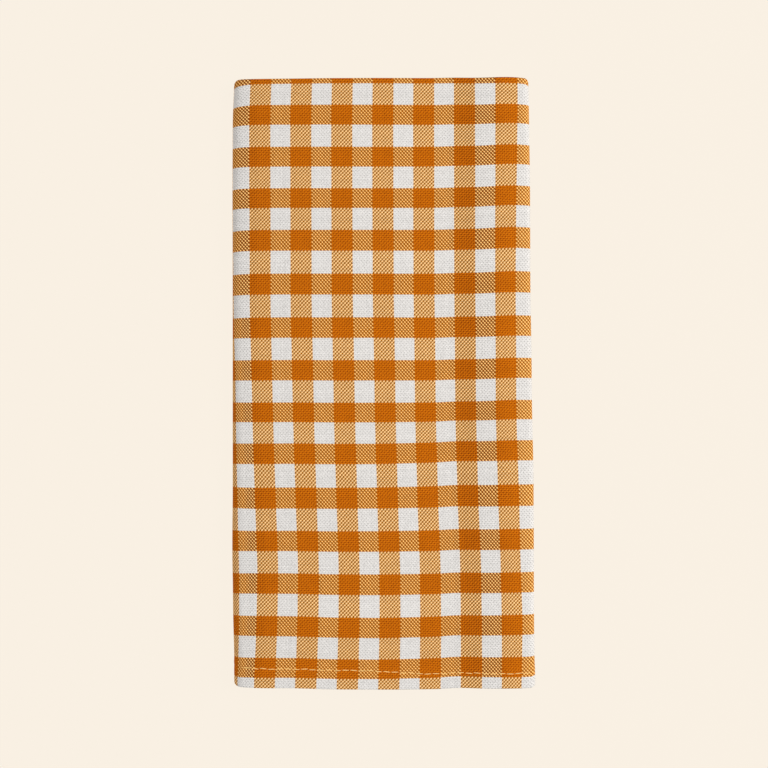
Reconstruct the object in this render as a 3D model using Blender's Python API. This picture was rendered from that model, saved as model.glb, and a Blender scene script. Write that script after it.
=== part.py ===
# A cloth napkin, folded: one square of checked cotton with a narrow hem on all four sides.
# The cloth is folded in half, which makes the crease along the top edge, and then twice
# sideways like a book. Eight layers lie on each other: a round spine at the left, a thin fold
# at the right, and the hems along the bottom edge.
# Metres, Z up. X runs across the folded napkin and Y along it, and it lies on its back at Z = 0.

import math

import bmesh
import bpy

# Driving sizes
CLOTH_LENGTH = 0.508      # flat cloth along Y, folded in half
CLOTH_WIDTH = 0.494       # flat cloth along X, folded in four
FOLDED_WIDTH = 0.1252     # from the spine to the thin fold
LAYER = 0.0010            # one layer of cloth
LAYER_GAP = 0.0003        # air between two layers
HEM_LAYER = 0.00115       # one layer where its hem is turned in
HEM_WIDTH = 0.0075
HEM_STEP = 0.0015         # the slope from the hem down to the single cloth
CORNER_RADIUS = 0.0022    # rounding of the folded napkin's corners, seen from above
CORNER_FADE = 0.012

# Sizes worked out from them
PITCH = LAYER + LAYER_GAP
CREASE_RADIUS = PITCH / 2                # the fold in half, with air between its two layers
FOLD_RADIUS = PITCH                      # a sideways fold of two layers
SPINE_RADIUS = 3 * PITCH                 # the sideways fold that wraps the inner fold
PAIR_HEIGHT = LAYER + LAYER_GAP / 2      # the middle of two layers that lie on the floor
LEG_RUN = (CLOTH_LENGTH - math.pi * CREASE_RADIUS) / 2
PANEL_RUN = FOLDED_WIDTH - SPINE_RADIUS - FOLD_RADIUS - 2 * PAIR_HEIGHT
TURNS_RUN = math.pi * (SPINE_RADIUS + 2 * FOLD_RADIUS)
FREE_RUN = (CLOTH_WIDTH - 2 * PANEL_RUN - TURNS_RUN) / 2
HEM_RUN = HEM_WIDTH + HEM_STEP

# The book fold, from the free end of the back panel to the free end of the third panel.
# A straight section has a run, and a fold has a radius and a turn, +1 to the left. The first
# and the last two runs of a table are the hem and the slope at its inner edge.
ACROSS = [
    {"section": "back", "run": HEM_WIDTH, "steps": 2},
    {"section": "back", "run": HEM_STEP, "steps": 1},
    {"section": "back", "run": FREE_RUN - HEM_RUN, "steps": 7},
    {"section": "spine", "radius": SPINE_RADIUS, "turn": -1, "steps": 10},
    {"section": "front", "run": PANEL_RUN, "steps": 10},
    {"section": "thin fold", "radius": FOLD_RADIUS, "turn": -1, "steps": 6},
    {"section": "second", "run": PANEL_RUN, "steps": 8},
    {"section": "inner fold", "radius": FOLD_RADIUS, "turn": 1, "steps": 6},
    {"section": "third", "run": FREE_RUN - HEM_RUN, "steps": 7},
    {"section": "third", "run": HEM_STEP, "steps": 1},
    {"section": "third", "run": HEM_WIDTH, "steps": 2},
]

# The fold in half, from the hem of the outer layer over the crease to the hem of the inner one.
ALONG = [
    {"section": "outer", "run": HEM_WIDTH, "steps": 2},
    {"section": "outer", "run": HEM_STEP, "steps": 1},
    {"section": "outer", "run": LEG_RUN - HEM_RUN, "steps": 11},
    {"section": "crease", "radius": CREASE_RADIUS, "turn": -1, "steps": 4},
    {"section": "inner", "run": LEG_RUN - HEM_RUN, "steps": 11},
    {"section": "inner", "run": HEM_STEP, "steps": 1},
    {"section": "inner", "run": HEM_WIDTH, "steps": 2},
]

# Where the side edges run, by the distance down from the crease: to the right is positive.
SIDE_EDGES = [
    {"down": 0.000, "left": 0.0006, "right": -0.0012},
    {"down": 0.016, "left": 0.0001, "right": -0.0010},
    {"down": 0.080, "left": 0.0000, "right": -0.0008},
    {"down": 0.125, "left": 0.0000, "right": -0.0002},
    {"down": 0.170, "left": 0.0000, "right": 0.0006},
    {"down": 0.215, "left": 0.0003, "right": 0.0010},
    {"down": 0.254, "left": 0.0012, "right": 0.0011},
]

# Where the crease and the lower edge run, by the distance in from the spine: up is positive.
END_EDGES = [
    {"in": 0.000, "crease": -0.0005, "hems": 0.0009},
    {"in": 0.012, "crease": -0.0003, "hems": 0.0001},
    {"in": 0.050, "crease": 0.0000, "hems": -0.0003},
    {"in": 0.090, "crease": 0.0004, "hems": 0.0000},
    {"in": 0.126, "crease": 0.0003, "hems": 0.0000},
]

# How much further apart the layers lie, as a share, by the distance in from the spine. The
# stack is soft in its middle, and the free hems lift it beside the thin fold.
LIFT_IN = [
    {"in": 0.000, "lift": 0.00},
    {"in": 0.012, "lift": 0.02},
    {"in": 0.045, "lift": 0.06},
    {"in": 0.085, "lift": 0.03},
    {"in": 0.108, "lift": 0.07},
    {"in": 0.126, "lift": 0.05},
]

# The same by the distance down from the crease, where the hems thicken the lower edge.
LIFT_DOWN = [
    {"down": 0.0000, "lift": 0.00},
    {"down": 0.0200, "lift": 0.02},
    {"down": 0.1100, "lift": 0.05},
    {"down": 0.1850, "lift": 0.02},
    {"down": 0.2350, "lift": 0.07},
    {"down": 0.2465, "lift": 0.13},
    {"down": 0.2540, "lift": 0.13},
]

# How far the hems stop short of the lower edge, by the share of the cloth's width from the
# free end of the back panel to that of the third.
HEM_STAGGER = [
    {"share": 0.00, "outer": 0.0006, "inner": 0.0014},
    {"share": 0.24, "outer": 0.0002, "inner": 0.0010},
    {"share": 0.30, "outer": 0.0000, "inner": 0.0012},
    {"share": 0.50, "outer": 0.0000, "inner": 0.0008},
    {"share": 0.56, "outer": 0.0012, "inner": 0.0020},
    {"share": 0.76, "outer": 0.0016, "inner": 0.0010},
    {"share": 1.00, "outer": 0.0004, "inner": 0.0018},
]

RUN = 3    # the place in a station of the run along the flat cloth

COTTON_COLOUR = (0.66, 0.42, 0.16, 1.0)
COTTON_ROUGHNESS = 0.92


def ease(share):
    return share * share * (3 - 2 * share)


def read_table(table, key, column, at):
    """The column at a place between two rows of the table, eased from the one to the other."""
    at = min(max(at, table[0][key]), table[-1][key])
    for before, after in zip(table, table[1:]):
        if at <= after[key]:
            share = ease((at - before[key]) / (after[key] - before[key]))
            return before[column] + share * (after[column] - before[column])


def walk(sections, start, heading):
    """Stations along the sections: two coordinates, the heading, the run so far and a name."""
    a, b = start
    run = 0.0
    stations = [(a, b, heading, run, sections[0]["section"])]
    for section in sections:
        turn = section.get("turn", 0) * math.pi / section["steps"]
        if turn:
            step = abs(turn) * section["radius"]
            chord = 2 * section["radius"] * math.sin(abs(turn) / 2)
        else:
            step = section["run"] / section["steps"]
            chord = step
        for _ in range(section["steps"]):
            a += chord * math.cos(heading + turn / 2)
            b += chord * math.sin(heading + turn / 2)
            heading += turn
            run += step
            stations.append((a, b, heading, run, section["section"]))
    return stations


def corner_drop(inward, down):
    """How far a corner is rounded off along Y at this place: less away from both its edges."""
    edge = min(inward, FOLDED_WIDTH - inward)
    reach = max(CORNER_RADIUS - max(edge, 0.0), 0.0)
    drop = CORNER_RADIUS - math.sqrt(CORNER_RADIUS**2 - reach**2)
    at_crease = ease(min(max(1 - down / CORNER_FADE, 0.0), 1.0))
    at_hems = ease(min(max(1 - (LEG_RUN - down) / CORNER_FADE, 0.0), 1.0))
    return drop * (at_hems - at_crease)


def press(x, y, z):
    """The straight folds made as uneven as the real ones: the edges wander, the stack swells."""
    inward = x + SPINE_RADIUS + PAIR_HEIGHT
    down = LEG_RUN - y
    across = inward / FOLDED_WIDTH
    up = y / LEG_RUN
    left = read_table(SIDE_EDGES, "down", "left", down)
    right = read_table(SIDE_EDGES, "down", "right", down)
    crease = read_table(END_EDGES, "in", "crease", inward)
    hems = read_table(END_EDGES, "in", "hems", inward)
    lift = read_table(LIFT_IN, "in", "lift", inward) + read_table(LIFT_DOWN, "down", "lift", down)
    return (
        x + left + across * (right - left),
        y + hems + up * (crease - hems) + corner_drop(inward, down),
        LAYER / 2 + (z - LAYER / 2) * (1 + lift),
    )


def fold(across, along):
    """A point of the cloth's middle surface, folded in half and then like a book."""
    x, z, heading, run, _ = across
    y, above, _, _, layer = along
    x -= above * math.sin(heading)
    z += above * math.cos(heading)
    column = "inner" if layer == "inner" else "outer"
    short = read_table(HEM_STAGGER, "share", column, run / CLOTH_WIDTH)
    y += short * min(max(1 - y / LEG_RUN, 0.0), 1.0)
    return press(x, y, z)


def in_hem(run, whole):
    """Whether a place this far along the flat cloth lies in the hem at either end."""
    return min(run, whole - run) < HEM_WIDTH + HEM_STEP / 2


def napkin_mesh():
    """The cloth's middle surface, with the share of the hem's thickness as a vertex weight."""
    back_end = (FREE_RUN, PAIR_HEIGHT)
    across = walk(ACROSS, back_end, math.pi)
    along = walk(ALONG, (0.0, CREASE_RADIUS), 0.0)
    bm = bmesh.new()
    bmesh.ops.create_grid(bm, x_segments=len(across) - 1, y_segments=len(along) - 1, size=0.5)
    thickness = bm.verts.layers.deform.verify()
    for vert in bm.verts:
        column = across[round((vert.co.x + 0.5) * (len(across) - 1))]
        row = along[round((vert.co.y + 0.5) * (len(along) - 1))]
        vert.co = fold(column, row)
        vert[thickness][0] = LAYER / HEM_LAYER
        if in_hem(column[RUN], CLOTH_WIDTH) or in_hem(row[RUN], CLOTH_LENGTH):
            vert[thickness][0] = 1.0
            vert.co.z += (HEM_LAYER - LAYER) / 2
    stand_on_origin(bm)
    mesh = bpy.data.meshes.new("napkin")
    bm.to_mesh(mesh)
    bm.free()
    return mesh


def stand_on_origin(bm):
    """Centres the cloth in X and Y, counting the half layer that its crease stands out."""
    xs = [vert.co.x for vert in bm.verts]
    ys = [vert.co.y for vert in bm.verts]
    middle_x = (min(xs) + max(xs)) / 2
    middle_y = (min(ys) + max(ys) + LAYER / 2) / 2
    bmesh.ops.translate(bm, verts=bm.verts, vec=(-middle_x, -middle_y, 0.0))


def cotton():
    material = bpy.data.materials.new("checked cotton")
    material.use_nodes = True
    shader = material.node_tree.nodes["Principled BSDF"]
    shader.inputs["Base Color"].default_value = COTTON_COLOUR
    shader.inputs["Roughness"].default_value = COTTON_ROUGHNESS
    shader.inputs["Metallic"].default_value = 0.0
    return material


def napkin():
    cloth = bpy.data.objects.new("napkin", napkin_mesh())
    bpy.context.scene.collection.objects.link(cloth)
    cloth.vertex_groups.new(name="thickness")
    cloth.data.materials.append(cotton())
    shell = cloth.modifiers.new("layer", "SOLIDIFY")
    shell.thickness = HEM_LAYER
    shell.offset = 0.0
    shell.vertex_group = "thickness"
    cloth.data.shade_smooth()
    cloth.data.set_sharp_from_angle(angle=math.radians(50))
    return cloth


def main():
    for old in list(bpy.data.objects):
        bpy.data.objects.remove(old, do_unlink=True)
    napkin()


main()
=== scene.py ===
import math

import bmesh
import bpy
from mathutils import Matrix, Vector


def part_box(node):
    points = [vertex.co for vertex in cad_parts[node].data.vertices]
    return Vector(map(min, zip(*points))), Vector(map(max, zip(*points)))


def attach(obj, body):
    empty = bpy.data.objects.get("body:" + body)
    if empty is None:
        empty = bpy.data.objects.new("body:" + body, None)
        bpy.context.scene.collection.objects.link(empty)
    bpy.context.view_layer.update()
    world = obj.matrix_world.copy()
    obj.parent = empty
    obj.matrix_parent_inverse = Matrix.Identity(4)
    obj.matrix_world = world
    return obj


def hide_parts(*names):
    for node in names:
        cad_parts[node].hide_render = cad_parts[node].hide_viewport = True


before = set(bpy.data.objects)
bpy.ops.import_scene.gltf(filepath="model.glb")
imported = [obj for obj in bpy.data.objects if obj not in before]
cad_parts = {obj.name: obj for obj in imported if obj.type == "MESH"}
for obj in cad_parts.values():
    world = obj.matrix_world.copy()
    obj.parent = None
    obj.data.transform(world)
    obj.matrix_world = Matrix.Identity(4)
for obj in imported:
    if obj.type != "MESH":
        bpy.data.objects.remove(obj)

boxLow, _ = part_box("napkin")
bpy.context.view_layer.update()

# A gingham napkin, folded in half over a crease at its top edge and then twice sideways like a
# book. Sizes are in metres. On the flat cloth, "across" runs over the width, from the free end of
# the back panel, and "along" over the length, from the hem of the outer layer.
cloth = {
    "width": 0.494,
    "length": 0.508,
    "foldedWidth": 0.1252,
    "pitch": 0.0013,           # from the middle of one layer to the middle of the next
    "spineReach": 0.00505,     # from the middle of the spine to its outer face
    "foldReach": 0.00245,
    "hemThickness": 0.00110,   # three layers pressed flat
    "sewnProud": 0.00008,      # how far the stitches under the cloth hold it off the table
    "cornerRadius": 0.0025,
    "cornerFade": 0.012,
    "stitchDepth": 0.0075,     # from the edge of a hem to its line of stitches
    "lowerInset": 0.0003,      # from the end of the frame's box to the lower edge
}
tiny = 1e-9                    # a run too short to count


def table(names, *rows):
    # a small table: the names of its columns, and then its rows
    return [dict(zip(names.split(), row)) for row in rows]


stitchDepth = cloth["stitchDepth"]
# rows of points across a hem, by their distance from its edge, and how thick the cloth is there
hemRows = table(
    "depth thick",
    (0.0000, 0.90),
    (0.0004, 1.00),
    (0.0032, 1.00),
    (0.0066, 1.00),
    (stitchDepth, 0.72),   # the line of stitches
    (0.0084, 1.00),
    (0.0092, 0.96),
    (0.0100, 0.65),
)
hemDepth = hemRows[-1]["depth"]
creaseRadius = cloth["pitch"] / 2
foldRadius = cloth["pitch"]
spineRadius = 3 * cloth["pitch"]
floorLayer = cloth["sewnProud"] + cloth["hemThickness"] / 2       # the middle of the lowest layer
legRun = (cloth["length"] - math.pi * creaseRadius) / 2
panelRun = cloth["foldedWidth"] - cloth["spineReach"] - cloth["foldReach"]
turnsRun = math.pi * (spineRadius + 2 * foldRadius + creaseRadius)
freeRun = (cloth["width"] - 2 * panelRun - turnsRun) / 2
frontStart = freeRun + math.pi * (spineRadius + creaseRadius)     # where the front panel begins


def fold(part, run, steps, radius=0.0, turn=0):
    return {"part": part, "run": run, "steps": steps, "radius": radius, "turn": turn}


def halfTurn(part, radius, turn, steps):
    # its run is that of the outer layer, which lies on the left of the path
    return fold(part, math.pi * (radius - turn * creaseRadius), steps, radius, turn)


bookFold = [
    fold("back", freeRun, 18),
    halfTurn("spine", spineRadius, -1, 12),
    fold("front", panelRun, 26),
    halfTurn("thinFold", foldRadius, -1, 8),
    fold("second", panelRun, 14),
    halfTurn("innerFold", foldRadius, 1, 8),
    fold("third", freeRun, 14),
]
halfFold = [
    fold("outer", legRun, 36),
    fold("crease", math.pi * creaseRadius, 6, creaseRadius, -1),
    fold("inner", legRun, 20),
]

# how far the edges wander: by the distance down from the crease, and in from the spine
sideEdges = table(
    "down left right",
    (0.000,  0.0005, -0.0012),
    (0.016, -0.0001, -0.0009),
    (0.045, -0.0002, -0.0005),
    (0.080, -0.0001, -0.0004),
    (0.125, -0.0001,  0.0002),
    (0.170, -0.0001,  0.0010),
    (0.195, -0.0003,  0.0011),
    (0.215,  0.0000,  0.0011),
    (0.254,  0.0008,  0.0014),
)
endEdges = table(
    "in crease hems",
    (0.000, -0.0002,  0.0005),
    (0.012,  0.0000,  0.0001),
    (0.022,  0.0001,  0.0002),
    (0.045,  0.0003, -0.0003),
    (0.064,  0.0004, -0.0004),
    (0.084,  0.0004, -0.0003),
    (0.093,  0.0006,  0.0003),
    (0.104,  0.0003,  0.0002),
    (0.116,  0.0006,  0.0003),
    (0.126,  0.0001,  0.0005),
)
# how much further apart the layers lie, as a share
liftIn = table(
    "in lift",
    (0.000,  0.00),
    (0.012,  0.02),
    (0.040,  0.05),
    (0.091, -0.02),
    (0.111,  0.18),
    (0.118,  0.17),
    (0.126,  0.12),
)
liftDown = table(
    "down lift",
    (0.0000, 0.00),
    (0.0200, 0.02),
    (0.1100, 0.04),
    (0.1850, 0.01),
    (0.2350, 0.07),
    (0.2465, 0.13),
    (0.2540, 0.13),
)
# by the share of the cloth's width: how far each hem stops short of the lower edge, and how deep
# its line of stitches lies
hemEdges = table(
    "share outer inner outerStitch innerStitch",
    (0.00, 0.0006, 0.0014, 0.0071, 0.0078),
    (0.24, 0.0002, 0.0010, 0.0085, 0.0074),
    (0.30, 0.0000, 0.0012, 0.0081, 0.0070),
    (0.36, 0.0000, 0.0010, 0.0080, 0.0073),
    (0.43, 0.0000, 0.0009, 0.0064, 0.0077),
    (0.50, 0.0000, 0.0008, 0.0063, 0.0080),
    (0.56, 0.0012, 0.0020, 0.0066, 0.0079),
    (0.76, 0.0016, 0.0010, 0.0076, 0.0071),
    (1.00, 0.0004, 0.0018, 0.0074, 0.0075),
)
# how far the checks have slipped on the folds, at these distances in from the spine
rowPlaces = {"spine": 0.001, "left": 0.008, "middle": 0.060, "right": 0.092, "edge": 0.118}
rowsUp = table(
    "down spine left middle right edge",
    (0.0025, -0.0019, -0.0009, -0.0009, -0.0010, -0.0013),
    (0.0110, -0.0009,  0.0000, -0.0003, -0.0005, -0.0003),
    (0.0280, -0.0003,  0.0000, -0.0003, -0.0002,  0.0005),
    (0.0600,  0.0004,  0.0009,  0.0008,  0.0008,  0.0017),
    (0.1000, -0.0007, -0.0003, -0.0002, -0.0004,  0.0002),
    (0.1350, -0.0004, -0.0003, -0.0002, -0.0002,  0.0006),
    (0.1550,  0.0003,  0.0006,  0.0007,  0.0015,  0.0019),
    (0.1750, -0.0006, -0.0007, -0.0002,  0.0002,  0.0004),
    (0.2050, -0.0011, -0.0005, -0.0006, -0.0004, -0.0002),
    (0.2300, -0.0008, -0.0005, -0.0010, -0.0004,  0.0000),
    (0.2510, -0.0003,  0.0001,  0.0002,  0.0007,  0.0004),
)
columnPlaces = {"spine": 0.001, "left": 0.007, "middle": 0.060, "right": 0.109, "edge": 0.1185}
columnsRight = table(
    "down spine left middle right edge",
    (0.007, 0.0004, 0.0005, 0.0011, 0.0016, 0.0024),
    (0.050, 0.0005, 0.0007, 0.0010, 0.0012, 0.0012),
    (0.095, 0.0014, 0.0006, 0.0011, 0.0011, 0.0007),
    (0.125, 0.0031, 0.0013, 0.0015, 0.0008, 0.0005),
    (0.150, 0.0034, 0.0019, 0.0017, 0.0007, 0.0004),
    (0.175, 0.0043, 0.0028, 0.0023, 0.0011, 0.0010),
    (0.200, 0.0051, 0.0040, 0.0032, 0.0022, 0.0014),
    (0.225, 0.0051, 0.0032, 0.0031, 0.0025, 0.0023),
    (0.251, 0.0033, 0.0014, 0.0020, 0.0023, 0.0014),
)


def ease(share):
    share = min(max(share, 0.0), 1.0)
    return share * share * (3 - 2 * share)


def readTable(table, key, column, at, soft=True):
    at = min(max(at, table[0][key]), table[-1][key])
    for before, after in zip(table, table[1:]):
        if at <= after[key]:
            share = (at - before[key]) / (after[key] - before[key])
            share = ease(share) if soft else share
            return before[column] + share * (after[column] - before[column])


def readSlip(table, places, inward, down):
    names = list(places)
    inward = min(max(inward, places[names[0]]), places[names[-1]])
    for before, after in zip(names, names[1:]):
        if inward <= places[after]:
            share = (inward - places[before]) / (places[after] - places[before])
            first = readTable(table, "down", before, down, soft=False)
            second = readTable(table, "down", after, down, soft=False)
            return first + share * (second - first)


def walk(sections, run, start, heading):
    # the place, heading and part at this distance along the sections
    a, b = start
    for section in sections:
        done = min(run, section["run"])
        run -= done
        turned = section["turn"] * math.pi * done / section["run"]
        chord = 2 * section["radius"] * math.sin(abs(turned) / 2) if section["turn"] else done
        a += chord * math.cos(heading + turned / 2)
        b += chord * math.sin(heading + turned / 2)
        heading += turned
        if run < tiny:
            break
    return a, b, heading, section["part"]


def stations(sections):
    # the distances at which the cloth gets a row of points: close ones in the hems at its ends
    depths = [row["depth"] for row in hemRows]
    whole = sum(section["run"] for section in sections)
    runs = list(depths)
    sectionEnd = 0.0
    for section in sections:
        start = max(sectionEnd, hemDepth)
        sectionEnd += section["run"]
        step = (min(sectionEnd, whole - hemDepth) - start) / section["steps"]
        runs += [start + step * (count + 1) for count in range(section["steps"])]
    return runs + [whole - depth for depth in depths[-2::-1]]


def hemShare(run, whole):
    # how thick the cloth is at this row, against the hem
    return readTable(hemRows, "depth", "thick", min(run, whole - run))


def stitchedAlong(along, across):
    # a row of points in a lower hem, moved to keep its place beside the line of stitches
    share = across / cloth["width"]
    if along <= hemDepth:
        return along * readTable(hemEdges, "share", "outerStitch", share) / stitchDepth
    if along >= cloth["length"] - hemDepth:
        depth = cloth["length"] - along
        moved = depth * readTable(hemEdges, "share", "innerStitch", share) / stitchDepth
        return cloth["length"] - moved
    return along


def cornerDrop(inward, down):
    edge = min(inward, cloth["foldedWidth"] - inward)
    radius = cloth["cornerRadius"]
    reach = max(radius - max(edge, 0.0), 0.0)
    drop = radius - math.sqrt(radius**2 - reach**2)
    atCrease = ease(1 - down / cloth["cornerFade"])
    atHems = ease(1 - (legRun - down) / cloth["cornerFade"])
    return drop * (atHems - atCrease)


def press(x, y, z):
    # the straight folds made as uneven as the real ones
    inward = x + cloth["spineReach"]
    down = legRun - y
    side = inward / cloth["foldedWidth"]
    up = y / legRun
    left = readTable(sideEdges, "down", "left", down)
    right = readTable(sideEdges, "down", "right", down)
    top = readTable(endEdges, "in", "crease", inward)
    bottom = readTable(endEdges, "in", "hems", inward)
    lift = readTable(liftIn, "in", "lift", inward) + readTable(liftDown, "down", "lift", down)
    return Vector((
        x + left + side * (right - left),
        y + bottom + up * (top - bottom) + cornerDrop(inward, down),
        z + lift * max(z - floorLayer, 0.0),
    ))


def foldedPlace(across, along, off=0.0):
    # a point of the folded cloth before it is pressed, this far out of the layer's middle
    y, above, tilt, layer = walk(halfFold, along, (0.0, creaseRadius), 0.0)
    y -= off * math.sin(tilt)
    above += off * math.cos(tilt)
    start = (freeRun, floorLayer + creaseRadius)
    x, z, heading, _ = walk(bookFold, across, start, math.pi)
    x -= above * math.sin(heading)
    z += above * math.cos(heading)
    column = "inner" if layer == "inner" else "outer"
    short = readTable(hemEdges, "share", column, across / cloth["width"])
    y += short * min(max(1 - y / legRun, 0.0), 1.0)
    return x, y, z


# the frame has its origin in the middle of the folded napkin
toFrame = Vector((boxLow.x + cloth["spineReach"], boxLow.y + cloth["lowerInset"], 0.0))


def clothPoint(across, along, off=0.0):
    return press(*foldedPlace(across, along, off)) + toFrame


def flatPlace(across, along):
    # where this point lies on the woven cloth, once the slip of its checks is taken off
    x, y, z = foldedPlace(across, along)
    inward = x + cloth["spineReach"]
    down = legRun - y
    return (
        across - readSlip(columnsRight, columnPlaces, inward, down),
        along - readSlip(rowsUp, rowPlaces, inward, down),
    )


def addPiece(name, bm):
    mesh = bpy.data.meshes.new(name)
    bm.to_mesh(mesh)
    bm.free()
    piece = bpy.data.objects.new(name, mesh)
    bpy.context.scene.collection.objects.link(piece)
    return piece


def makeCloth():
    acrossRuns = stations(bookFold)
    alongRuns = stations(halfFold)
    columns = len(acrossRuns) - 1
    rows = len(alongRuns) - 1
    bm = bmesh.new()
    # a grid one unit wide and high, whose points then move to their places
    bmesh.ops.create_grid(bm, x_segments=columns, y_segments=rows, size=0.5)
    thick = bm.verts.layers.deform.verify()
    flat = bm.loops.layers.uv.new("flatCloth")
    places = {}
    for vert in bm.verts:
        across = acrossRuns[round((vert.co.x + 0.5) * columns)]
        along = alongRuns[round((vert.co.y + 0.5) * rows)]
        vert[thick][0] = max(hemShare(across, cloth["width"]), hemShare(along, cloth["length"]))
        along = stitchedAlong(along, across)
        places[vert] = flatPlace(across, along)
        vert.co = clothPoint(across, along)
    for face in bm.faces:
        face.smooth = True
        for loop in face.loops:
            loop[flat].uv = places[loop.vert]
    piece = addPiece("clothNapkin", bm)
    piece.vertex_groups.new(name="thick")
    layer = piece.modifiers.new("layer", "SOLIDIFY")
    layer.thickness = cloth["hemThickness"]
    layer.offset = 0.0
    layer.vertex_group = "thick"
    soft = piece.modifiers.new("soft", "SUBSURF")
    soft.levels = 1
    soft.render_levels = 1
    return piece


clothNapkin = makeCloth()
print("cloth folded:", len(clothNapkin.data.vertices), "points before its thickness")

# The sewing: a lockstitch in cream thread along all four hems
sewing = {
    "pitch": 0.0034,
    "shown": 0.0032,           # the length of a stitch that shows
    "thread": 0.00037,         # its thickness
    "height": 0.00040,         # from the middle of the cloth to the middle of the thread
    "wander": 0.00012,
    "wanderTurn": 2.4,         # radians of the wander from stitch to stitch
    "slant": 0.00013,
    "slantTurn": 1.7,
    "sides": 6,                # faces round a stitch
    "rings": 4,                # and along it
    "darkThread": (0.91, 0.56, 0.16),
    "lightThread": (0.98, 0.69, 0.27),
    "twistScale": 2500.0,
    "roughness": 0.7,
}


def makeStitch():
    # one stitch of length 2 along X, to be scaled and laid in its place
    bm = bmesh.new()
    sides, rings = sewing["sides"], sewing["rings"]
    bmesh.ops.create_uvsphere(bm, u_segments=sides, v_segments=rings, radius=1.0)
    bmesh.ops.rotate(bm, verts=bm.verts, matrix=Matrix.Rotation(math.pi / 2, 3, "Y"))
    shape = bpy.data.meshes.new("stitch")
    bm.to_mesh(shape)
    bm.free()
    return shape


def addStitch(bm, shape, start, end, outward):
    along = end - start
    side = outward.cross(along).normalized()
    upward = along.cross(side).normalized()
    turned = Matrix((along.normalized(), side, upward)).transposed().to_4x4()
    half = sewing["thread"] / 2
    scaled = Matrix.Diagonal((along.length / 2, half, half, 1.0))
    laid = shape.copy()
    laid.transform(Matrix.Translation((start + end) / 2) @ turned @ scaled)
    bm.from_mesh(laid)
    bpy.data.meshes.remove(laid)


def sewLine(bm, shape, whole, seamPoint):
    # stitches along one hem, whose seamPoint gives a place at a run and a height
    count = int(whole / sewing["pitch"]) - 1
    spare = (whole - count * sewing["pitch"]) / 2
    for number in range(count):
        run = spare + (number + 0.5) * sewing["pitch"]
        sway = sewing["wander"] * math.sin(number * sewing["wanderTurn"])
        slant = sewing["slant"] * math.sin(number * sewing["slantTurn"])
        start = seamPoint(run - sewing["shown"] / 2, sewing["height"], sway - slant)
        end = seamPoint(run + sewing["shown"] / 2, sewing["height"], sway + slant)
        outward = seamPoint(run, sewing["height"], sway) - seamPoint(run, 0.0, sway)
        addStitch(bm, shape, start, end, outward)


def outerSeam(across, off, sway):
    depth = readTable(hemEdges, "share", "outerStitch", across / cloth["width"])
    return clothPoint(across, depth + sway, off)


def innerSeam(across, off, sway):
    depth = readTable(hemEdges, "share", "innerStitch", across / cloth["width"])
    return clothPoint(across, cloth["length"] - depth + sway, off)


def backSeam(along, off, sway):
    return clothPoint(stitchDepth + sway, along, off)


def thirdSeam(along, off, sway):
    return clothPoint(cloth["width"] - stitchDepth + sway, along, off)


def makeStitches():
    bm = bmesh.new()
    shape = makeStitch()
    for seamPoint in (outerSeam, innerSeam):
        sewLine(bm, shape, cloth["width"], seamPoint)
    for seamPoint in (backSeam, thirdSeam):
        sewLine(bm, shape, cloth["length"], seamPoint)
    bpy.data.meshes.remove(shape)
    for face in bm.faces:
        face.smooth = True
    bmesh.ops.recalc_face_normals(bm, faces=bm.faces)
    return addPiece("hemStitches", bm)


hemStitches = makeStitches()
print("hems sewn:", len(hemStitches.data.polygons), "faces of thread")

# The weave: mustard and off-white yarns, counted into checks. The warp runs up the napkin.
weave = {
    "mustardEnd": 0.000727,    # the width of a yarn with its gap
    "whiteEnd": 0.000689,
    "mustardPick": 0.000770,
    "whitePick": 0.000770,
    "mustardEnds": 12,
    "whiteEnds": 12,
    "mustardPicks": 11,
    "whitePicks": 12,
    "columnEdge": 0.0020,      # from the end of the spine to the first mustard column
    "rowEdge": 0.0044,         # from the lower edge up to the first mustard row
    "wave": 0.55,              # how far a yarn rises over its neighbours, against its roundness
    "warpRound": 0.56,
    "weftRound": 0.84,
    "lean": 0.42,              # how far the twist leans each float over
    "foldSink": 0.27,          # how far the picks sink where they go round the thin fold
    "sinkRun": 0.008,          # and how long before it they begin to
    "relief": 0.00011,
    "mustard": (0.618, 0.173, 0.0030),
    "shadedMustard": (0.680, 0.075, 0.0),       # painted shade: the mustard low down between the yarns
    "white": (0.715, 0.694, 0.674),
    # the yarns' colours in the mixed checks, where light passes between them
    "mustardEnds in white": (0.345, 0.115, 0.005),
    "whitePicks in mustard": (0.950, 0.582, 0.255),
    "mustardPicks in white": (0.370, 0.099, 0.001),
    "whiteEnds in mustard": (0.985, 0.537, 0.170),
    # and where the painted shade of the gaps is deepest: painted shade on the mustard picks,
    # painted highlight on the white ends
    "deep mustardPicks in white": (0.210, 0.038, 0.0),
    "deep whiteEnds in mustard": (1.0, 0.60, 0.215),
    # painted shade: what the mustard yarns leave of the light on the sides of the white ones
    "sideShade": (0.95, 0.80, 0.45),
    "mustardGap": 0.16,        # the light left between the yarns
    "whiteGap": 0.45,
    "firstLight": 0.1,         # the height below which a float is in the gap's light
    "whiteLight": 0.8,         # the height from which it is fully lit, in each kind of check
    "mixedLight": 1.0,
    "mustardLight": 1.3,
    "deepLight": 0.15,         # how much higher that is where the painted shade is deepest
    "picksLess": 0.13,         # and how much less where mustard picks cross white ends
    "whiteShadeShare": 0.5,         # how much of the painted shade shows in the white checks
    "toneSpread": 0.10,        # from yarn to yarn
    "floatSpread": 0.10,       # from float to float
    "warpSeed": 0.5,           # of the random tones
    "weftSeed": 900.5,
    "roughness": 0.9,
    "specular": 0.05,
}
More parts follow.
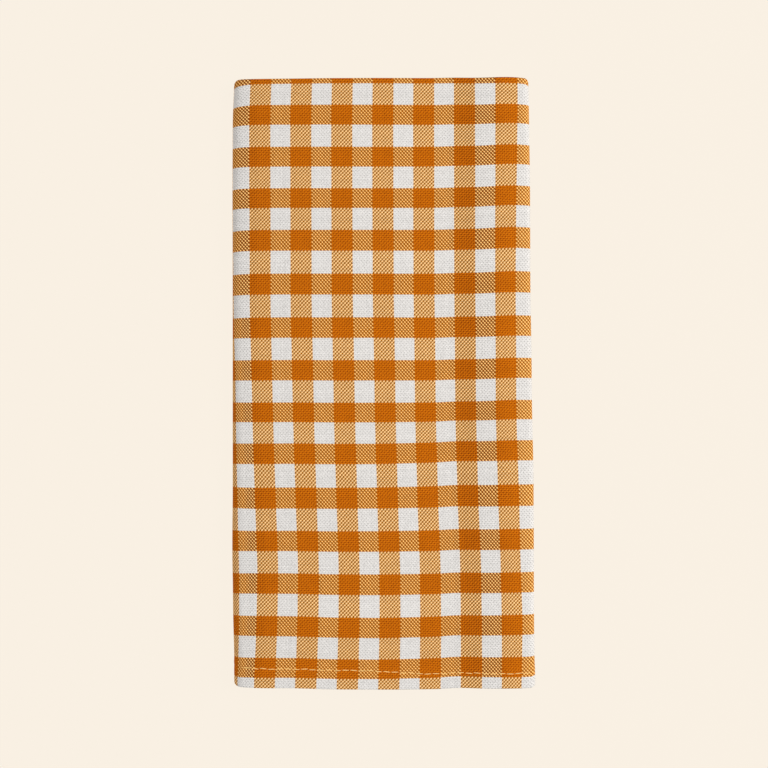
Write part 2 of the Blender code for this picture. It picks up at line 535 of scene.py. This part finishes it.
# painted shade and painted light: how dark the gaps between the yarns are made where the cloth
# slopes away from the light or bends towards it, by the distance in from the spine: 1 is the
# deepest painted shade, 0 as elsewhere, -1 the gaps nearly closed and lit
paintedGapShadeRows = table(
    "in deep",
    (-0.018,  0.0),
    ( 0.001,  0.0),
    ( 0.005,  0.8),
    ( 0.013,  0.0),
    ( 0.088,  0.0),
    ( 0.096,  0.7),
    ( 0.105,  0.7),
    ( 0.112,  0.1),
    ( 0.118, -0.4),
    ( 0.124, -0.6),
    ( 0.135,  0.0),
)


def rgba(colour):
    return (*colour, 1.0)


class NodeDesk:
    # short calls for a material's nodes
    def __init__(self, tree):
        self.tree = tree

    def node(self, kind, **settings):
        made = self.tree.nodes.new(kind)
        for name, value in settings.items():
            setattr(made, name, value)
        return made

    def feed(self, socket, value):
        if isinstance(value, bpy.types.NodeSocket):
            self.tree.links.new(value, socket)
        else:
            socket.default_value = value

    def math(self, operation, *values):
        made = self.node("ShaderNodeMath", operation=operation)
        for socket, value in zip(made.inputs, values):
            self.feed(socket, value)
        return made.outputs[0]

    def blend(self, share, first, second):
        made = self.node("ShaderNodeMix", data_type="FLOAT")
        for name, value in zip(("Factor", "A", "B"), (share, first, second)):
            self.feed(made.inputs[name], value)
        return made.outputs["Result"]

    def mix(self, share, first, second, blend="MIX"):
        made = self.node("ShaderNodeMix", data_type="RGBA", blend_type=blend)
        colours = [socket for socket in made.inputs if socket.type == "RGBA"]
        for socket, value in zip((made.inputs[0], *colours), (share, first, second)):
            self.feed(socket, value)
        return [socket for socket in made.outputs if socket.type == "RGBA"][0]

    def rise(self, value, low, high, most=1.0):
        # eased from 0 at the low value to the most at the high one
        made = self.node("ShaderNodeMapRange", interpolation_type="SMOOTHSTEP")
        self.feed(made.inputs["Value"], value)
        self.feed(made.inputs["From Min"], low)
        self.feed(made.inputs["From Max"], high)
        self.feed(made.inputs["To Max"], most)
        return made.outputs["Result"]


def newMaterial(name):
    # the material, the desk for its nodes and its shader
    material = bpy.data.materials.new(name)
    material.use_nodes = True
    return material, NodeDesk(material.node_tree), material.node_tree.nodes["Principled BSDF"]


def yarnNumber(desk, run, counts, widths):
    # how many yarns lie between the start of a mustard band and this place
    bands = [count * width for count, width in zip(counts, widths)]
    inRepeat = desk.math("FLOORED_MODULO", run, sum(bands))
    repeats = desk.math("FLOOR", desk.math("DIVIDE", run, sum(bands)))
    mustard = desk.math("DIVIDE", desk.math("MINIMUM", inRepeat, bands[0]), widths[0])
    beyond = desk.math("MAXIMUM", desk.math("SUBTRACT", inRepeat, bands[0]), 0.0)
    white = desk.math("DIVIDE", beyond, widths[1])
    return desk.math("MULTIPLY_ADD", repeats, sum(counts), desk.math("ADD", mustard, white))


def yarnSet(desk, at, other, counts, wave, roundness, lean):
    # one set of yarns: its height here, whether the yarn here is mustard, and its number
    mustard, white = counts
    centred = desk.math("SUBTRACT", desk.math("FRACT", other), 0.5)
    leaned = desk.math("MULTIPLY_ADD", centred, lean, at)
    index = desk.math("FLOOR", leaned)
    edge = desk.math("MULTIPLY_ADD", desk.math("FRACT", leaned), 2.0, -1.0)
    bulge = desk.math("SQRT", desk.math("SUBTRACT", 1.0, desk.math("MULTIPLY", edge, edge)))
    phase = desk.math("ADD", desk.math("SUBTRACT", other, 0.5), index)
    rise = desk.math("MULTIPLY", desk.math("COSINE", desk.math("MULTIPLY", phase, math.pi)), wave)
    height = desk.math("MULTIPLY_ADD", bulge, roundness, rise)
    inRepeat = desk.math("FLOORED_MODULO", index, mustard + white)
    isMustard = desk.math("LESS_THAN", inRepeat, mustard - 0.5)
    return {"height": height, "mustard": isMustard, "number": index}


def yarnTone(desk, index, seed):
    noise = desk.node("ShaderNodeTexWhiteNoise", noise_dimensions="1D")
    desk.feed(noise.inputs["W"], desk.math("ADD", index, seed))
    spread = weave["toneSpread"]
    return desk.math("MULTIPLY_ADD", noise.outputs["Value"], spread, 1.0 - spread / 2)


def floatTone(desk, end, pick):
    noise = desk.node("ShaderNodeTexWhiteNoise", noise_dimensions="2D")
    crossing = desk.node("ShaderNodeCombineXYZ")
    desk.feed(crossing.inputs["X"], end)
    desk.feed(crossing.inputs["Y"], pick)
    desk.feed(noise.inputs["Vector"], crossing.outputs["Vector"])
    spread = weave["floatSpread"]
    return desk.math("MULTIPLY_ADD", noise.outputs["Value"], spread, 1.0 - spread / 2)


def readPaintedGapShade(desk, inward):
    start = paintedGapShadeRows[0]["in"]
    whole = paintedGapShadeRows[-1]["in"] - start
    share = desk.math("DIVIDE", desk.math("SUBTRACT", inward, start), whole)
    share = desk.math("MAXIMUM", desk.math("MINIMUM", share, 1.0), 0.0)
    node = desk.node("ShaderNodeFloatCurve")
    node.mapping.extend = "HORIZONTAL"
    points = node.mapping.curves[0].points
    # the curve runs from 0 to 1 both ways, so the depths from -1 to 1 are halved and raised
    halves = [((row["in"] - start) / whole, (row["deep"] + 1) / 2) for row in paintedGapShadeRows]
    points[0].location = halves[0]
    points[1].location = halves[-1]
    for half in halves[1:-1]:
        points.new(*half)
    for point in points:
        point.handle_type = "AUTO_CLAMPED"
    node.mapping.update()
    desk.feed(node.inputs["Value"], share)
    return desk.math("MULTIPLY_ADD", node.outputs["Value"], 2.0, -1.0)


def layYarns(desk, across, along):
    # the warp and the weft at this place of the flat cloth
    fromColumn = desk.math("SUBTRACT", across, frontStart + weave["columnEdge"])
    fromRow = desk.math("SUBTRACT", along, weave["rowEdge"])
    endCounts = (weave["mustardEnds"], weave["whiteEnds"])
    pickCounts = (weave["mustardPicks"], weave["whitePicks"])
    ends = yarnNumber(desk, fromColumn, endCounts, (weave["mustardEnd"], weave["whiteEnd"]))
    picks = yarnNumber(desk, fromRow, pickCounts, (weave["mustardPick"], weave["whitePick"]))
    wave, lean = weave["wave"], weave["lean"]
    warp = yarnSet(desk, ends, picks, endCounts, wave, weave["warpRound"], lean)
    weft = yarnSet(desk, picks, ends, pickCounts, -wave, weave["weftRound"], -lean)
    foldStart = frontStart + panelRun
    sunk = desk.rise(across, foldStart - weave["sinkRun"], foldStart, weave["foldSink"])
    weft["height"] = desk.math("SUBTRACT", weft["height"], sunk)
    return warp, weft


def sortCheck(desk, warp, weft, weftOnTop):
    # 1 or 0 for each: the colour of the yarn on top and the kind of check
    bothMustard = desk.math("MINIMUM", warp["mustard"], weft["mustard"])
    topMustard = desk.blend(weftOnTop, warp["mustard"], weft["mustard"])
    mixed = desk.math("ABSOLUTE", desk.math("SUBTRACT", warp["mustard"], weft["mustard"]))
    return {
        "topMustard": topMustard,
        "bothMustard": bothMustard,
        "mixed": mixed,
        "coloured": desk.math("MAXIMUM", topMustard, mixed),
        "picksMustard": desk.math("SUBTRACT", weft["mustard"], bothMustard),
    }


def litShare(desk, top, check, deep, depth):
    # how much of the light reaches this height
    full = desk.blend(check["bothMustard"], weave["whiteLight"], weave["mustardLight"])
    full = desk.blend(check["mixed"], full, weave["mixedLight"])
    # painted shade: full light is reached higher up where the painted shade is deep
    full = desk.math("MULTIPLY_ADD", depth, weave["deepLight"], full)
    deepPicks = desk.math("MULTIPLY", deep, check["picksMustard"])
    full = desk.math("SUBTRACT", full, desk.math("MULTIPLY", deepPicks, weave["picksLess"]))
    return desk.rise(top, weave["firstLight"], full)


def yarnColour(desk, warp, check, deep, lit):
    # painted shade and painted highlight in the mixed checks where the painted shade is deep
    whiteEnds, mustardPicks = (
        desk.mix(deep, rgba(weave[name]), rgba(weave["deep " + name]))
        for name in ("whiteEnds in mustard", "mustardPicks in white"))
    whiteMixed = desk.mix(warp["mustard"], whiteEnds, rgba(weave["whitePicks in mustard"]))
    mustardMixed = desk.mix(warp["mustard"], mustardPicks, rgba(weave["mustardEnds in white"]))
    # painted shade: the mustard turns to its shaded colour where little light reaches
    mustardOnly = desk.mix(lit, rgba(weave["shadedMustard"]), rgba(weave["mustard"]))
    # painted shade: the white floats tinted where little light reaches their sides
    shadedWhiteSides = desk.mix(1.0, whiteMixed, rgba(weave["sideShade"]), "MULTIPLY")
    whiteMixed = desk.mix(lit, shadedWhiteSides, whiteMixed)
    whiteYarn = desk.mix(check["mixed"], rgba(weave["white"]), whiteMixed)
    mustardYarn = desk.mix(check["mixed"], mustardOnly, mustardMixed)
    return desk.mix(check["topMustard"], whiteYarn, mustardYarn)


def yarnShade(desk, warp, weft, weftOnTop, check, depth, lit):
    # the tone of this yarn and of this float, and the dark of the gaps
    end, pick = warp["number"], weft["number"]
    endTone = yarnTone(desk, end, weave["warpSeed"])
    pickTone = yarnTone(desk, pick, weave["weftSeed"])
    tone = desk.blend(weftOnTop, endTone, pickTone)
    tone = desk.math("MULTIPLY", tone, floatTone(desk, end, pick))
    gap = desk.blend(check["coloured"], weave["whiteGap"], weave["mustardGap"])
    # painted shade: the gaps darker where the painted shade is deep, lighter where it is below 0
    gap = desk.math("MULTIPLY", gap, desk.math("SUBTRACT", 1.0, depth))
    return desk.math("MULTIPLY", tone, desk.blend(lit, gap, 1.0))


def makeGingham():
    material, desk, shader = newMaterial("checkedCotton")
    flat = desk.node("ShaderNodeUVMap", uv_map="flatCloth")
    split = desk.node("ShaderNodeSeparateXYZ")
    desk.feed(split.inputs[0], flat.outputs["UV"])
    across, along = split.outputs["X"], split.outputs["Y"]
    warp, weft = layYarns(desk, across, along)
    weftOnTop = desk.math("GREATER_THAN", weft["height"], warp["height"])
    top = desk.math("MAXIMUM", weft["height"], warp["height"])
    check = sortCheck(desk, warp, weft, weftOnTop)
    inward = desk.math("SUBTRACT", across, frontStart - cloth["spineReach"])
    # painted shade and painted light in the gaps, by the distance in from the spine
    depth = readPaintedGapShade(desk, inward)
    deep = desk.math("MAXIMUM", depth, 0.0)
    whiteShadeShare = desk.math("MULTIPLY", deep, weave["whiteShadeShare"])
    depth = desk.blend(check["coloured"], whiteShadeShare, depth)
    lit = litShare(desk, top, check, deep, depth)
    colour = yarnColour(desk, warp, check, deep, lit)
    shade = yarnShade(desk, warp, weft, weftOnTop, check, depth, lit)
    desk.feed(shader.inputs["Base Color"], desk.mix(1.0, colour, shade, "MULTIPLY"))
    bump = desk.node("ShaderNodeBump")
    desk.feed(bump.inputs["Height"], top)
    bump.inputs["Distance"].default_value = weave["relief"]
    desk.feed(shader.inputs["Normal"], bump.outputs["Normal"])
    shader.inputs["Roughness"].default_value = weave["roughness"]
    shader.inputs["Specular IOR Level"].default_value = weave["specular"]
    return material


def makeThread():
    material, desk, shader = newMaterial("creamThread")
    place = desk.node("ShaderNodeTexCoord")
    twist = desk.node("ShaderNodeTexNoise")
    desk.feed(twist.inputs["Vector"], place.outputs["Object"])
    twist.inputs["Scale"].default_value = sewing["twistScale"]
    dark, light = rgba(sewing["darkThread"]), rgba(sewing["lightThread"])
    desk.feed(shader.inputs["Base Color"], desk.mix(twist.outputs["Fac"], dark, light))
    shader.inputs["Roughness"].default_value = sewing["roughness"]
    return material


clothNapkin.data.materials.append(makeGingham())
hemStitches.data.materials.append(makeThread())
for piece in (clothNapkin, hemStitches):
    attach(piece, "root")
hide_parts("napkin")
print("weave made")

# The studio: a pale floor that shows hardly any shadow, and soft light from the upper right
studio = {
    "floorColour": (0.9473, 0.8714, 0.7682),
    "floorGlow": 0.985,
    "floorSize": 8.0,
    "floorGap": 0.0002,
    "skyColour": (0.94, 0.93, 0.92),
    "skyStrength": 0.340,
    "cameraPlace": (0.0004, -0.0004, 0.6765),
    "lens": 75.0,
}
lights = table(
    "name place size power colour",
    ("key", (0.88, 0.12, 1.05), 0.6, 18.1, (1.0, 0.99, 0.97)),
    ("fill", (-1.20, -0.20, 0.45), 0.8, 5.5, (0.99, 0.99, 1.0)),
)


def makeFloor():
    bm = bmesh.new()
    bmesh.ops.create_grid(bm, x_segments=1, y_segments=1, size=studio["floorSize"] / 2)
    bmesh.ops.translate(bm, verts=bm.verts, vec=(0.0, 0.0, -studio["floorGap"]))
    floor = addPiece("floor", bm)
    material, _, shader = newMaterial("paleFloor")
    unlit = 1 - studio["floorGlow"]
    dimmed = [part * unlit for part in studio["floorColour"]]
    shader.inputs["Base Color"].default_value = rgba(dimmed)
    shader.inputs["Roughness"].default_value = 1.0
    shader.inputs["Specular IOR Level"].default_value = 0.0
    shader.inputs["Emission Color"].default_value = rgba(studio["floorColour"])
    shader.inputs["Emission Strength"].default_value = studio["floorGlow"]
    floor.data.materials.append(material)


def makeLight(light):
    lamp = bpy.data.lights.new(light["name"], "AREA")
    lamp.shape = "DISK"
    lamp.size = light["size"]
    lamp.energy = light["power"]
    lamp.color = light["colour"]
    made = bpy.data.objects.new(light["name"], lamp)
    made.location = light["place"]
    made.rotation_euler = (-Vector(light["place"])).to_track_quat("-Z", "Y").to_euler()
    bpy.context.scene.collection.objects.link(made)


def makeSky():
    sky = bpy.data.worlds.new("sky")
    sky.use_nodes = True
    light = sky.node_tree.nodes["Background"]
    light.inputs["Color"].default_value = rgba(studio["skyColour"])
    light.inputs["Strength"].default_value = studio["skyStrength"]
    bpy.context.scene.world = sky


def makeCamera():
    lens = bpy.data.cameras.new("camera")
    lens.lens = studio["lens"]
    camera = bpy.data.objects.new("camera", lens)
    camera.location = studio["cameraPlace"]
    bpy.context.scene.collection.objects.link(camera)
    bpy.context.scene.camera = camera


makeFloor()
for light in lights:
    makeLight(light)
makeSky()
makeCamera()
bpy.context.scene.view_settings.view_transform = "Standard"
print("studio set")
